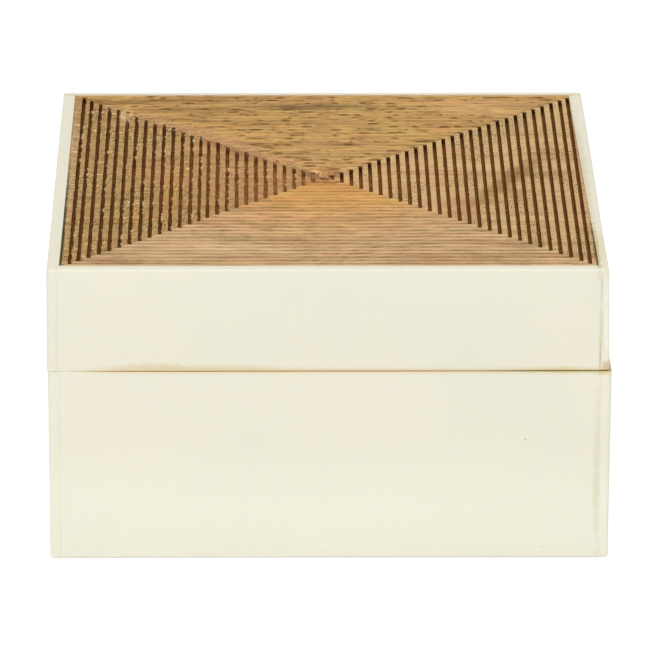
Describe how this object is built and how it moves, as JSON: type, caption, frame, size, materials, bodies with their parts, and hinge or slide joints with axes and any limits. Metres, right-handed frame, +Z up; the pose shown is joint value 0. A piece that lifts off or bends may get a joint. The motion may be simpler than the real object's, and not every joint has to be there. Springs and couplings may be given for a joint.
{
  "type": "keepsake box",
  "caption": "Square keepsake box with a hinged lid, clad in cream resin, its lid set with a wooden panel carved with concentric square grooves.",
  "frame": {"origin": "centre of the bounding box's bottom face, where the felt under the base rests", "axes": "+Z up, the front faces -Y, +X to the right as seen from the front"},
  "size_m": [0.2036, 0.203, 0.112],
  "materials": {
    "cream_resin": "cast polyester resin, satin polished",
    "mango_wood": "waxed, grooves darker",
    "fibreboard": "bare medium density fibreboard",
    "black_felt": "short felt",
    "brass": "lightly tarnished"
  },
  "bodies": {
    "base": {"base_front_wall": "fibreboard", "base_back_wall": "fibreboard", "base_left_wall": "fibreboard", "base_right_wall": "fibreboard", "base_floor_board": "fibreboard", "base_front_sheet": "cream_resin", "base_back_sheet": "cream_resin", "base_left_sheet": "cream_resin", "base_right_sheet": "cream_resin", "base_floor_lining": "black_felt", "base_wall_lining": "black_felt", "base_foot_felt": "black_felt", "left_hinge_base_leaf": "brass", "left_hinge_pin": "brass", "left_hinge_base_screw_1": "brass", "left_hinge_base_screw_2": "brass", "right_hinge_base_leaf": "brass", "right_hinge_pin": "brass", "right_hinge_base_screw_1": "brass", "right_hinge_base_screw_2": "brass"},
    "lid": {"lid_front_wall": "fibreboard", "lid_back_wall": "fibreboard", "lid_left_wall": "fibreboard", "lid_right_wall": "fibreboard", "lid_top_board": "fibreboard", "lid_front_sheet": "cream_resin", "lid_back_sheet": "cream_resin", "lid_left_sheet": "cream_resin", "lid_right_sheet": "cream_resin", "lid_carved_panel": "mango_wood", "lid_top_lining": "black_felt", "lid_wall_lining": "black_felt", "left_hinge_lid_leaf": "brass", "left_hinge_lid_screw_1": "brass", "left_hinge_lid_screw_2": "brass", "right_hinge_lid_leaf": "brass", "right_hinge_lid_screw_1": "brass", "right_hinge_lid_screw_2": "brass"}
  },
  "joints": [
    {"name": "lid_hinge", "type": "hinge", "parent": "base", "child": "lid", "pos_m": [0, 0.0995, 0.073], "axis": [-1, 0, 0], "range_deg": [0, 95]}
  ]
}
